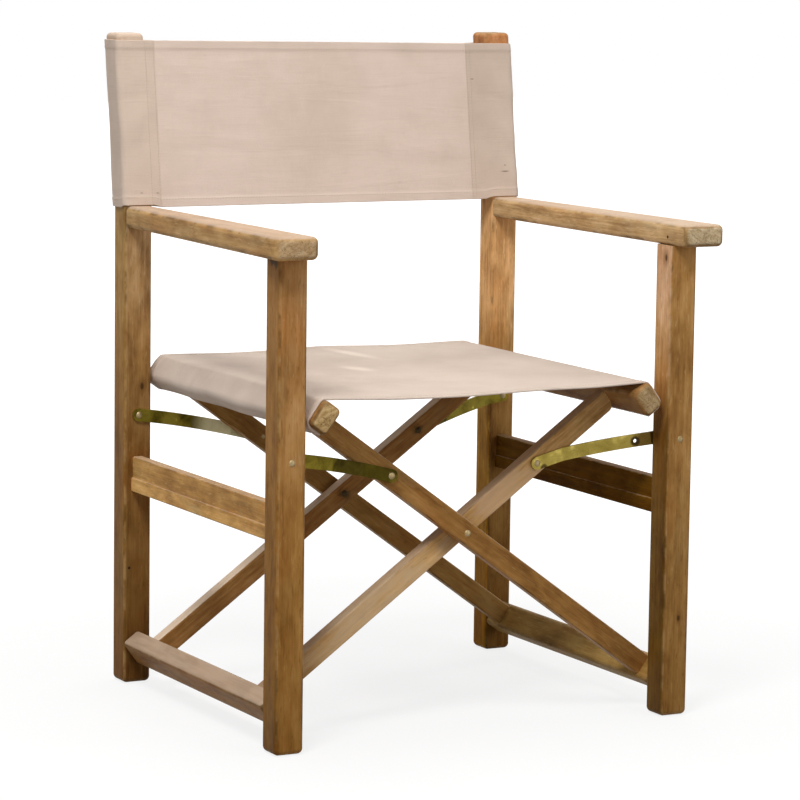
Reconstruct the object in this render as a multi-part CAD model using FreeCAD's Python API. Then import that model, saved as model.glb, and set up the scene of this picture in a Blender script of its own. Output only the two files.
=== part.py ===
import FreeCAD, Part
import os
from math import atan2, cos, degrees, hypot, radians, sin, sqrt, tan

# Folding armchair with a cloth seat and back. Millimetres, +Z up, floor at z = 0.
# The sitter faces -Y, and +X is at the right of a person who looks at the front.

V = FreeCAD.Vector
UP = V(0, 0, 1)
EAST = V(1, 0, 0)
NORTH = V(0, 1, 0)

# Clearances
slip = 0.3            # flat face beside a face of another moving piece, and cloth beside wood
running = 0.05        # radial room of a pin or bolt in its bore
joint_fit = 0.1       # room on each side of a tenon or dowel in its socket

# Posts
post_x = 278.0        # middle of each post from the middle of the chair
post_size = 39.0
post_arris = 5.0
foot_round = 7.0
side_depth = 433.0    # clear distance between a front post and a rear post
rear_height = 870.0
bend_rise = 1.0       # rear posts lean back from this far above the arms
rake_angle = 8.0
post_top_round = 6.0

# Arms
arm_z = 614.5         # underside, also the top of the front posts
arm_thick = 28.5
arm_outboard = 21.0   # beyond the outer face of the posts, at the front end
arm_rear_inset = 1.5  # outer side inside the outer face of the post, at the rear end
arm_overhang = 32.0   # beyond the front face of the front post
arm_arris = 7.5
arm_corner = 9.0
arm_dowel_r = 5.0
arm_dowel_in_post = 24.0
arm_dowel_in_arm = 14.0
arm_peg_in_post = 20.0
arm_peg_in_arm = 24.0

# Middle rung of each side
rung_z = 261.0
rung_height = 47.0
rung_thick = 15.0
rung_step_height = 19.0
rung_step_thick = 19.0
rung_arris = 2.5
rung_tenon_thick = 9.0
rung_tenon_height = 34.0
rung_tenon_length = 16.0

# Crossing bars
pivot_z = 49.0        # pins where the crossing frames turn in the posts
cross_z = 250.0       # bolts where the bars cross
bar_width = 28.0
bar_thick = 20.0
bar_gap = 20.0        # outer bars stand this far inside the posts
bar_arris = 2.5
bar_end_round = 11.0
tenon_width = 18.0
tenon_thick = 9.0
tenon_length = 15.0

# Rails of the crossing frames
rail_width = 38.0
rail_thick = 28.0
rail_end_round = 5.4
seat_gap = 7.8        # between a seat rail and the posts beside it
seat_rail_short = 2.0 # each end of a seat rail inside the outer faces of the posts
seat_rail_round = 7.0
foot_rail_round = 5.5
foot_rail_play = 0.5  # each end beside its post
pin_r = 5.0
pin_in_post = 26.0
pin_in_rail = 20.0

# Crossing bolts
bolt_r = 3.0
bolt_head_r = 4.4
bolt_head_h = 2.0
nut_across = 10.0
nut_h = 4.5
washer_r = 8.5

# Brass stays from the posts to the bars
stay_z = 364.0        # bolt in the post
stay_reach = 138.0    # rivet on the bar from the crossing bolt
stay_width = 17.0
stay_thick = 3.0
stay_rise = 3.0       # arch of the strap above a straight line
stay_flat = 20.0      # from the post bolt to the start of the slanted stretch
stay_step = 110.0     # length over which the strap slants inwards
stay_hole_at = 40.0   # spare hole in the front right strap, from the post bolt
stay_hole_r = 2.6
stay_bolt_r = 2.8
rivet_r = 2.6
rivet_head_r = 4.4
rivet_head_h = 1.8

# Seat cloth
seat_cloth_thick = 1.8
seat_cloth_inset = 8.0 # bare rail at each end
seat_slope = 2.0      # degrees of the cloth where it leaves each rail, which gives the sag
seat_tuck = 5.0       # cloth stops this far short of the bar side of the rail

# Back cloth
back_cloth_thick = 1.8
back_clear = 0.5      # foot of the cloth above the bend of the posts
back_bare = 12.5      # bare top of the posts above the cloth
back_seam = 26.5      # seam of each pocket inboard of the post

# Derived places
theta = atan2(cross_z - pivot_z, post_x)
foot_reach = hypot(cross_z - pivot_z, post_x)
inner_face = post_x - post_size / 2
outer_face = post_x + post_size / 2
post_near = side_depth / 2
post_far = post_near + post_size
post_y = post_near + post_size / 2
plane_gap = stay_thick + 2 * slip
bar_face = post_near - bar_gap
outer_bar_near = bar_face - bar_thick
inner_bar_far = outer_bar_near - plane_gap
inner_bar_near = inner_bar_far - bar_thick
rail_spread = (rail_width / 2 - seat_rail_round) * sin(theta) + (rail_thick / 2 - seat_rail_round) * cos(theta)
seat_reach = (inner_face - seat_gap - seat_rail_round - rail_spread) / cos(theta)
seat_rail_length = 2 * (post_far - seat_rail_short)
seat_cloth_depth = seat_rail_length - 2 * seat_cloth_inset
stay_near = inner_bar_far + slip
outer_stay_near = bar_face + slip
stay_post_near = post_near - slip - stay_thick
rake = tan(radians(rake_angle))
bend_z = arm_z + arm_thick + bend_rise
back_bottom = bend_z + back_clear
back_top = rear_height - back_bare
crossing = V(0, 0, cross_z)
bar_dir = V(cos(theta), 0, sin(theta))
bar_up = V(-sin(theta), 0, cos(theta))


def box(x0, x1, y0, y1, z0, z1):
    return Part.makeBox(x1 - x0, y1 - y0, z1 - z0, V(x0, y0, z0))


def rod(radius, start, end):
    return Part.makeCylinder(radius, (end - start).Length, start, end - start)


def rounded_face(middle, u, v, length_u, length_v, radius):
    half = [length_v / 2, length_u / 2, length_v / 2, length_u / 2]
    sides = [v * -1, u, v, u * -1]
    arcs = []
    for n in range(4):
        m = (n + 1) % 4
        k = middle + sides[n] * (half[n] - radius) + sides[m] * (half[m] - radius)
        diagonal = (sides[n] + sides[m]) * (radius / sqrt(2))
        arcs.append(Part.Arc(k + sides[n] * radius, k + diagonal, k + sides[m] * radius).toShape())
    edges = []
    for n in range(4):
        edges.append(arcs[n])
        edges.append(Part.makeLine(arcs[n].Vertexes[-1].Point, arcs[(n + 1) % 4].Vertexes[0].Point))
    return Part.Face(Part.Wire(edges))


def edges_where(shape, test):
    return [e for e in shape.Edges if test(e.BoundBox)]


def hexagon(middle, across, height):
    # Hexagonal prism along +Y, from the plane of its middle point.
    points = []
    for n in range(7):
        a = radians(60 * n)
        points.append(middle + V(cos(a), 0, sin(a)) * (across / sqrt(3)))
    return Part.Face(Part.makePolygon(points)).extrude(NORTH * height)


def headed_pin(start, direction, shank_r, length, head_r, head_h):
    # Round shank along the direction from its start, with a low domed head that stands back from the start.
    out = V(0, 0, 1)
    tip = start + direction * length
    crown = start - direction * head_h
    ball_r = (head_r ** 2 + head_h ** 2) / (2 * head_h)
    ball = crown + direction * ball_r
    half_turn = atan2(head_r, ball_r - head_h) / 2
    shoulder = ball + (out * sin(half_turn) - direction * cos(half_turn)) * ball_r
    edges = [
        Part.Arc(crown, shoulder, start + out * head_r).toShape(),
        Part.makeLine(start + out * head_r, start + out * shank_r),
        Part.makeLine(start + out * shank_r, tip + out * shank_r),
        Part.makeLine(tip + out * shank_r, tip),
        Part.makeLine(tip, crown),
    ]
    return Part.Face(Part.Wire(edges)).revolve(start, direction, 360)


def flip_x(shape):
    return shape.mirror(V(0, 0, 0), EAST)


def flip_y(shape):
    return shape.mirror(V(0, 0, 0), NORTH)


def front_post():
    face = rounded_face(V(post_x, -post_y, 0), EAST, NORTH, post_size, post_size, post_arris)
    post = face.extrude(UP * arm_z)
    post = post.makeFillet(foot_round, edges_where(post, lambda b: b.ZMax < 0.01))
    post = post.cut(rung_socket(-1))
    post = post.cut(pin_socket(-1))
    post = post.cut(rod(stay_bolt_r + running, V(post_x, -post_far, stay_z), V(post_x, -post_near, stay_z)))
    return post.cut(arm_dowel_hole())


def rear_post():
    face = rounded_face(V(post_x, post_y, 0), EAST, NORTH, post_size, post_size, post_arris)
    lower = face.extrude(UP * bend_z)
    lower = lower.makeFillet(foot_round, edges_where(lower, lambda b: b.ZMax < 0.01))
    rise = rear_height - bend_z
    face = rounded_face(V(post_x, post_y, bend_z), EAST, NORTH, post_size, post_size, post_arris)
    upper = face.extrude(V(0, rise * rake, rise))
    upper = upper.makeFillet(post_top_round, edges_where(upper, lambda b: b.ZMin > rear_height - 0.01))
    post = lower.fuse(upper)
    post = post.cut(rung_socket(1))
    post = post.cut(pin_socket(1))
    post = post.cut(rod(stay_bolt_r + running, V(post_x, post_near, stay_z), V(post_x, post_far, stay_z)))
    return post.cut(arm_peg_hole())


def rung_socket(side):
    # Mortise in the inward face of the front (-1) or rear (1) post.
    half_t = rung_tenon_thick / 2 + joint_fit
    half_h = rung_tenon_height / 2 + joint_fit
    z = rung_z + rung_height / 2
    ends = sorted([side * post_near, side * (post_near + rung_tenon_length + joint_fit)])
    return box(post_x - half_t, post_x + half_t, ends[0], ends[1], z - half_h, z + half_h)


def pin_socket(side):
    start = V(post_x, side * post_near, pivot_z)
    return rod(pin_r + running, start, start + NORTH * side * (pin_in_post + joint_fit))


def arm_dowel_hole():
    bottom = V(post_x, -post_y, arm_z - arm_dowel_in_post - joint_fit)
    return rod(arm_dowel_r + joint_fit, bottom, V(post_x, -post_y, arm_z + arm_dowel_in_arm + joint_fit))


def arm_peg_hole():
    z = arm_z + arm_thick / 2
    front = V(post_x, post_near - arm_peg_in_arm - joint_fit, z)
    return rod(arm_dowel_r + joint_fit, front, V(post_x, post_near + arm_peg_in_post + joint_fit, z))


def arm_dowels():
    bottom = V(post_x, -post_y, arm_z - arm_dowel_in_post)
    upright = rod(arm_dowel_r, bottom, V(post_x, -post_y, arm_z + arm_dowel_in_arm))
    z = arm_z + arm_thick / 2
    peg = rod(arm_dowel_r, V(post_x, post_near - arm_peg_in_arm, z), V(post_x, post_near + arm_peg_in_post, z))
    return Part.makeCompound([upright, peg])


def arm():
    # The outer side flares from the rear post to the front end.
    front = -post_far - arm_overhang
    plan = [
        V(inner_face, front, arm_z),
        V(outer_face + arm_outboard, front, arm_z),
        V(outer_face - arm_rear_inset, post_near, arm_z),
        V(inner_face, post_near, arm_z),
        V(inner_face, front, arm_z),
    ]
    body = Part.Face(Part.makePolygon(plan)).extrude(UP * arm_thick)
    body = body.makeFillet(arm_corner, edges_where(body, lambda b: b.YMax < front + 0.01 and b.ZLength > 1))
    body = body.makeFillet(arm_arris, edges_where(body, lambda b: b.ZLength < 0.01 and b.YMin < post_near - 0.01))
    body = body.cut(arm_dowel_hole())
    return body.cut(arm_peg_hole())


def mid_rung():
    near = V(post_x, -post_near, rung_z + rung_height / 2)
    upper = rounded_face(near, EAST, UP, rung_thick, rung_height, rung_arris)
    near.z = rung_z + rung_step_height / 2
    lower = rounded_face(near, EAST, UP, rung_step_thick, rung_step_height, rung_arris)
    rung = upper.extrude(NORTH * side_depth).fuse(lower.extrude(NORTH * side_depth))
    half_t = rung_tenon_thick / 2
    z = rung_z + rung_height / 2
    reach = post_near + rung_tenon_length
    half_h = rung_tenon_height / 2
    return rung.fuse(box(post_x - half_t, post_x + half_t, -reach, reach, z - half_h, z + half_h))


def lower_pins():
    pins = []
    for side in (-1, 1):
        tail = V(post_x, side * (post_near + pin_in_post), pivot_z)
        pins.append(rod(pin_r, tail, V(post_x, side * (post_near - foot_rail_play - pin_in_rail), pivot_z)))
    return Part.makeCompound(pins)


def stay_bolts():
    # One bolt in each post. Each head faces the front of the chair.
    ends = [(-post_far, -stay_post_near + slip + nut_h), (stay_post_near - slip, post_far + nut_h)]
    bolts = []
    for head, tail in ends:
        start = V(post_x, head, stay_z)
        bolts.append(headed_pin(start, NORTH, stay_bolt_r, tail - head, bolt_head_r, bolt_head_h))
    return Part.makeCompound(bolts)


def stay_nuts():
    nuts = []
    for face in (-stay_post_near + slip, post_far):
        start = V(post_x, face, stay_z)
        nut = hexagon(start, nut_across, nut_h)
        nuts.append(nut.cut(rod(stay_bolt_r + running, start, start + NORTH * nut_h)))
    return Part.makeCompound(nuts)


def along(reach, across=0.0, y=0.0):
    # Point on the bar that rises to the right, measured from the crossing bolt.
    return crossing + bar_dir * reach + bar_up * across + NORTH * y


def bar_tenon(reach, y_mid, side, room):
    # Tenon at a bar end that stands on the shoulder and points outwards along the bar.
    half_w = tenon_width / 2 + room
    half_t = tenon_thick / 2 + room
    start = along(reach, -half_w, y_mid - half_t)
    block = Part.makePolygon([
        start,
        start + bar_up * half_w * 2,
        start + bar_up * half_w * 2 + NORTH * half_t * 2,
        start + NORTH * half_t * 2,
        start,
    ])
    return Part.Face(block).extrude(bar_dir * side * (tenon_length + room))


def bar(y_mid):
    low = -foot_reach + rail_thick / 2
    high = seat_reach - rail_thick / 2
    face = rounded_face(along(low, 0, y_mid), bar_up, NORTH, bar_width, bar_thick, bar_arris)
    body = face.extrude(bar_dir * (high - low))
    corner = along(high, -bar_width / 2, y_mid)
    block = rounded_corner_waste(corner)
    body = body.cut(block)
    body = body.fuse(bar_tenon(low, y_mid, -1, 0.0))
    body = body.fuse(bar_tenon(high, y_mid, 1, 0.0))
    half = NORTH * (bar_thick / 2 + 1)
    for reach, radius in ((0.0, bolt_r + running), (stay_reach, rivet_r + running)):
        body = body.cut(rod(radius, along(reach, 0, y_mid) - half, along(reach, 0, y_mid) + half))
    return body


def rounded_corner_waste(corner):
    # What is cut away to round the underside of a bar where it meets the seat rail.
    depth = NORTH * (bar_thick / 2 + 1)
    r = bar_end_round
    start = corner - bar_dir * r - depth
    end = corner + bar_up * r - depth
    centre = corner - bar_dir * r + bar_up * r - depth
    arc = Part.Arc(start, centre + (bar_dir - bar_up) * (r / sqrt(2)), end).toShape()
    tip = corner - depth
    wire = Part.Wire([arc, Part.makeLine(end, tip), Part.makeLine(tip, start)])
    return Part.Face(wire).extrude(depth * 2)


def rail(reach, length, radius, bar_y, side):
    # Rail square to the bars, with a mortise for each of the two bars.
    face = rounded_face(along(reach, 0, -length / 2), bar_dir, bar_up, rail_thick, rail_width, radius)
    body = face.extrude(NORTH * length)
    ends = edges_where(body, lambda b: b.YLength < 0.01)
    body = body.makeFillet(rail_end_round, ends)
    for y in (-bar_y, bar_y):
        body = body.cut(bar_tenon(reach - side * rail_thick / 2, y, side, joint_fit))
    return body


def seat_rail(bar_y):
    return rail(seat_reach, seat_rail_length, seat_rail_round, bar_y, 1)


def foot_rail(bar_y):
    length = side_depth - 2 * foot_rail_play
    body = rail(-foot_reach, length, foot_rail_round, bar_y, -1)
    for side in (-1, 1):
        start = along(-foot_reach, 0, side * length / 2)
        body = body.cut(rod(pin_r + running, start, start - NORTH * side * (pin_in_rail + joint_fit)))
    return body


def cross_bolts():
    # Each bolt passes an inner and an outer bar. Its head faces the front of the chair.
    bolts = []
    for head, tail in ((-bar_face, -inner_bar_near), (inner_bar_near, bar_face)):
        start = V(0, head, cross_z)
        bolts.append(headed_pin(start, NORTH, bolt_r, tail + nut_h - head, bolt_head_r, bolt_head_h))
    return Part.makeCompound(bolts)


def cross_nuts():
    nuts = []
    for face in (-inner_bar_near, bar_face):
        start = V(0, face, cross_z)
        nut = hexagon(start, nut_across, nut_h)
        nuts.append(nut.cut(rod(bolt_r + running, start, start + NORTH * nut_h)))
    return Part.makeCompound(nuts)


def cross_washers():
    washers = []
    for y in (-inner_bar_far - slip - stay_thick, inner_bar_far + slip):
        start = V(0, y, cross_z)
        ring = rod(washer_r, start, start + NORTH * stay_thick)
        washers.append(ring.cut(rod(bolt_r + joint_fit, start, start + NORTH * stay_thick)))
    return Part.makeCompound(washers)


def rivet(face, other, side):
    # Rivet on the bar line from its headed face to its plain end. Side is the way along Y to the plain end.
    start = along(stay_reach, 0, face)
    return headed_pin(start, NORTH * side, rivet_r, abs(other - face), rivet_head_r, rivet_head_h)


def inner_bar_rivets():
    # Rivet through each inner bar with its head on the free face.
    rear = rivet(inner_bar_near, inner_bar_far, 1)
    return Part.makeCompound([rear, flip_y(rear)])


def outer_bar_rivets():
    # Rivet through each outer bar, flush where the other bar passes.
    rear = rod(rivet_r, along(stay_reach, 0, outer_bar_near), along(stay_reach, 0, bar_face))
    return Part.makeCompound([rear, flip_y(rear)])


def stay_outline():
    # Plan of the strap as a curved band with round ends, in the plane y = 0.
    p = V(post_x, 0, stay_z)
    q = along(stay_reach)
    chord = q - p
    span = chord.Length
    rise_dir = V(chord.z, 0, -chord.x).normalize()
    radius = (span ** 2 / 4 + stay_rise ** 2) / (2 * stay_rise)
    middle = (p + q) * 0.5 - rise_dir * (radius - stay_rise)
    half = stay_width / 2
    p_dir = (p - middle).normalize()
    q_dir = (q - middle).normalize()
    p_end = V(-p_dir.z, 0, p_dir.x)
    q_end = V(q_dir.z, 0, -q_dir.x)
    if p_end.dot(chord) > 0:
        p_end = p_end * -1
        q_end = q_end * -1
    over = Part.Arc(p + p_dir * half, middle + rise_dir * (radius + half), q + q_dir * half)
    q_cap = Part.Arc(q + q_dir * half, q + q_end * half, q - q_dir * half)
    under = Part.Arc(q - q_dir * half, middle + rise_dir * (radius - half), p - p_dir * half)
    p_cap = Part.Arc(p - p_dir * half, p + p_end * half, p + p_dir * half)
    wire = Part.Wire([over.toShape(), q_cap.toShape(), under.toShape(), p_cap.toShape()])
    return Part.Face(wire)


def stay_slant_block(bar_side):
    # The strap seen from above: flat at the post, a slant inwards, then flat on the face of its bar.
    p = V(post_x, 0, stay_z)
    chord = along(stay_reach) - p
    e = V(chord.x, 0, chord.z).normalize()
    span = chord.Length
    drop = stay_post_near - bar_side
    lead = stay_thick * tan(atan2(drop, stay_step) / 2)
    profile = [
        (-stay_width, stay_post_near),
        (stay_flat, stay_post_near),
        (stay_flat + stay_step, bar_side),
        (span + stay_width, bar_side),
        (span + stay_width, bar_side + stay_thick),
        (stay_flat + stay_step + lead, bar_side + stay_thick),
        (stay_flat + lead, stay_post_near + stay_thick),
        (-stay_width, stay_post_near + stay_thick),
        (-stay_width, stay_post_near),
    ]
    rise_dir = V(e.z, 0, -e.x)
    reach = stay_width + stay_rise
    points = [p + e * s + NORTH * y - rise_dir * reach for s, y in profile]
    return Part.Face(Part.makePolygon(points)).extrude(rise_dir * 2 * reach)


def rear_right_stay(bar_side):
    outline = stay_outline()
    outline.translate(NORTH * (bar_side - 1))
    strap = outline.extrude(NORTH * (post_near - bar_side + 2)).common(stay_slant_block(bar_side))
    strap = strap.cut(rod(stay_bolt_r + running, V(post_x, 0, stay_z), V(post_x, post_near, stay_z)))
    return strap.cut(rod(rivet_r + running, along(stay_reach), along(stay_reach, 0, post_near)))


def front_right_stay():
    strap = flip_y(rear_right_stay(stay_near))
    p = V(post_x, 0, stay_z)
    e = (along(stay_reach) - p).normalize()
    hole = p + e * stay_hole_at + V(0, 0, stay_rise / 2)
    return strap.cut(rod(stay_hole_r, hole, hole - NORTH * post_near))


def seat_line(offset):
    # Line of the cloth from its tucked edge on the right rail to the middle, at an offset from the wood.
    middle = along(seat_reach)
    radius = seat_rail_round + offset
    deep = rail_width / 2 - seat_rail_round
    wide = rail_thick / 2 - seat_rail_round
    top = middle + bar_up * deep + bar_dir * wide
    low = middle - bar_up * deep + bar_dir * wide
    slope = radians(seat_slope)
    lift = V(-sin(slope), 0, cos(slope))
    tuck = low - bar_up * radius - bar_dir * (rail_thick - seat_rail_round - seat_tuck)
    turn = (bar_dir + lift).normalize()
    sweep = top.x / sin(slope) - radius
    hub = top + lift * (top.x / sin(slope))
    corner = (bar_dir - bar_up).normalize()
    edges = [
        Part.makeLine(tuck, low - bar_up * radius),
        Part.Arc(low - bar_up * radius, low + corner * radius, low + bar_dir * radius).toShape(),
        Part.makeLine(low + bar_dir * radius, top + bar_dir * radius),
        Part.Arc(top + bar_dir * radius, top + turn * radius, top + lift * radius).toShape(),
        seat_arc(hub, sweep, slope),
    ]
    return edges, tuck, hub - UP * sweep


def seat_arc(hub, sweep, slope):
    ends = []
    for share in (1.0, 0.5, 0.0):
        a = slope * share
        ends.append(hub + V(sin(a), 0, -cos(a)) * sweep)
    return Part.Arc(ends[0], ends[1], ends[2]).toShape()


def seat_cloth():
    inside, tuck_in, middle_in = seat_line(slip)
    outside, tuck_out, middle_out = seat_line(slip + seat_cloth_thick)
    closing = [Part.makeLine(tuck_in, tuck_out), Part.makeLine(middle_in, middle_out)]
    wire = Part.Wire(Part.__sortEdges__(inside + outside + closing))
    face = Part.Face(wire)
    face.translate(NORTH * (-seat_cloth_depth / 2))
    half = face.extrude(NORTH * seat_cloth_depth)
    return half.fuse(flip_x(half)).removeSplitter()


def back_pocket():
    # Pocket round the right rear post, as a level section at the foot of the cloth.
    near = post_near - slip - back_cloth_thick
    far = post_far + slip + back_cloth_thick
    out = outer_face + slip + back_cloth_thick
    seam = inner_face - back_seam
    shell = back_outline(seam, out, near, far, post_arris + slip + back_cloth_thick, 0.0)
    hollow = back_outline(seam, out, near, far, post_arris + slip, back_cloth_thick)
    return shell.cut(hollow)


def back_outline(seam, out, near, far, radius, inset):
    # Outline of the pocket, moved inwards by the cloth thickness for its hollow.
    slant = V(inner_face - seam, far - near - back_cloth_thick, 0).normalize()
    square = V(slant.y, -slant.x, 0)
    x1 = out - inset
    y0 = near + inset
    y1 = far - inset
    start = V(seam, near + back_cloth_thick, 0) + square * inset
    foot = start + slant * ((y0 - start.y) / slant.y)
    head = start + slant * ((y1 - start.y) / slant.y)
    k0 = V(x1 - radius, y0 + radius, 0)
    k1 = V(x1 - radius, y1 - radius, 0)
    diagonal = radius / sqrt(2)
    edges = [
        Part.makeLine(foot, V(k0.x, y0, 0)),
        Part.Arc(V(k0.x, y0, 0), k0 + V(diagonal, -diagonal, 0), V(x1, k0.y, 0)).toShape(),
        Part.makeLine(V(x1, k0.y, 0), V(x1, k1.y, 0)),
        Part.Arc(V(x1, k1.y, 0), k1 + V(diagonal, diagonal, 0), V(k1.x, y1, 0)).toShape(),
        Part.makeLine(V(k1.x, y1, 0), head),
        Part.makeLine(head, foot),
    ]
    return Part.Face(Part.Wire(edges))


def back_cloth():
    near = post_near - slip - back_cloth_thick
    seam = inner_face - back_seam
    panel = [
        V(-seam, near, 0),
        V(seam, near, 0),
        V(seam, near + back_cloth_thick, 0),
        V(-seam, near + back_cloth_thick, 0),
        V(-seam, near, 0),
    ]
    rise = back_top - back_bottom
    lean = V(0, rise * rake, rise)
    pocket = back_pocket().Faces[0].extrude(lean)
    sheet = Part.Face(Part.makePolygon(panel)).extrude(lean)
    cloth = sheet.fuse([pocket, flip_x(pocket)]).removeSplitter()
    cloth.translate(V(0, back_clear * rake, back_bottom))
    return cloth


def export(name, shape):
    shape.exportStep("parts/" + name + ".step")


def export_side(side, move):
    # Everything that belongs to one side frame. The move places it on its side.
    export("front_%s_post" % side, move(front_post()))
    export("rear_%s_post" % side, move(rear_post()))
    export("%s_arm" % side, move(arm()))
    export("%s_arm_dowels" % side, move(arm_dowels()))
    export("%s_mid_rung" % side, move(mid_rung()))
    export("%s_foot_pins" % side, move(lower_pins()))
    export("%s_stay_bolts" % side, move(stay_bolts()))
    export("%s_stay_nuts" % side, move(stay_nuts()))


def export_frames():
    inner_y = (inner_bar_near + inner_bar_far) / 2
    outer_y = (outer_bar_near + bar_face) / 2
    export("inner_front_bar", bar(-inner_y))
    export("inner_rear_bar", bar(inner_y))
    export("outer_front_bar", flip_x(bar(-outer_y)))
    export("outer_rear_bar", flip_x(bar(outer_y)))
    export("right_seat_rail", seat_rail(inner_y))
    export("left_seat_rail", flip_x(seat_rail(outer_y)))
    export("left_foot_rail", foot_rail(inner_y))
    export("right_foot_rail", flip_x(foot_rail(outer_y)))
    export("cross_bolts", cross_bolts())
    export("cross_nuts", cross_nuts())
    export("cross_washers", cross_washers())
    export("inner_bar_rivets", inner_bar_rivets())
    export("outer_bar_rivets", flip_x(outer_bar_rivets()))


def export_stays():
    # The right straps lie on the inner bars and the left straps on the outer bars, each on the face towards its post.
    free = stay_near + stay_thick
    outer_free = outer_stay_near + stay_thick
    export("front_right_stay", front_right_stay())
    export("rear_right_stay", rear_right_stay(stay_near))
    export("front_left_stay", flip_x(flip_y(rear_right_stay(outer_stay_near))))
    export("rear_left_stay", flip_x(rear_right_stay(outer_stay_near)))
    export("front_right_stay_rivet", rivet(-free, -stay_near, 1))
    export("rear_right_stay_rivet", rivet(free, stay_near, -1))
    export("front_left_stay_rivet", flip_x(rivet(-outer_free, -outer_stay_near, 1)))
    export("rear_left_stay_rivet", flip_x(rivet(outer_free, outer_stay_near, -1)))


os.makedirs("parts", exist_ok=True)
export_side("right", lambda shape: shape)
export_side("left", flip_x)
export_frames()
export_stays()
export("seat_sling", seat_cloth())
export("back_sling", back_cloth())
print("bar angle", round(degrees(theta), 3), "pivot to crossing", round(foot_reach, 3))
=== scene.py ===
import bmesh, bpy, math, random
import numpy as np
from mathutils import Vector, Matrix


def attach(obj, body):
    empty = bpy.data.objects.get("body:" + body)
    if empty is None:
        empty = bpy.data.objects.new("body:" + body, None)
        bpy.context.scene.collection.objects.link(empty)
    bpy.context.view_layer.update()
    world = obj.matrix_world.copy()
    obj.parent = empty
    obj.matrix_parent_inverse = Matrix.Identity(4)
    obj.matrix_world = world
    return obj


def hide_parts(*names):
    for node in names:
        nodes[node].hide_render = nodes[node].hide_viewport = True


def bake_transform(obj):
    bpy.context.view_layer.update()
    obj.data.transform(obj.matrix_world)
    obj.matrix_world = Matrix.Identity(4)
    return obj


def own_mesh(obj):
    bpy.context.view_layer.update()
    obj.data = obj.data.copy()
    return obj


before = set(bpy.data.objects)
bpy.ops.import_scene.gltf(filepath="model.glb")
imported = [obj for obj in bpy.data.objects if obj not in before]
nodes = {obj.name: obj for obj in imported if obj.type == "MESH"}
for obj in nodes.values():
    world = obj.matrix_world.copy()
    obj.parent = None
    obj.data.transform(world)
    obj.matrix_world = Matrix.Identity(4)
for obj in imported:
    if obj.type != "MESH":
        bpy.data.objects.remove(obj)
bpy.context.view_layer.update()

# Directions in the chair. Sizes and places are in metres, and colours are linear
THETA = math.radians(35.868)            # slope of the crossing bars
RAKE = math.tan(math.radians(8))        # lean of the rear posts above the arms
UP, DEPTH, SIDE = (0, 0, 1), (0, 1, 0), (1, 0, 0)
LEFT, TOP = (-1, 0, 0), (0, 0, 1)
BAR_RIGHT = Vector((math.cos(THETA), 0, math.sin(THETA)))
BAR_LEFT = Vector((-math.cos(THETA), 0, math.sin(THETA)))
BAR_RIGHT_TOP = (-math.sin(THETA), 0, math.cos(THETA))
BAR_LEFT_TOP = (math.sin(THETA), 0, math.cos(THETA))


# Materials
def put(tree, socket, value):
    if isinstance(value, bpy.types.NodeSocket):
        tree.links.new(value, socket)
    else:
        socket.default_value = value


def make_node(tree, kind, inputs=(), **settings):
    """A node whose inputs are values or outputs of other nodes."""
    node = tree.nodes.new(kind)
    for k, v in settings.items():
        setattr(node, k, v)
    for k, v in dict(inputs).items():
        put(tree, node.inputs[k], v)
    return node


def empty_tree(owner):
    owner.use_nodes = True
    owner.node_tree.nodes.clear()
    return owner.node_tree


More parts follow.
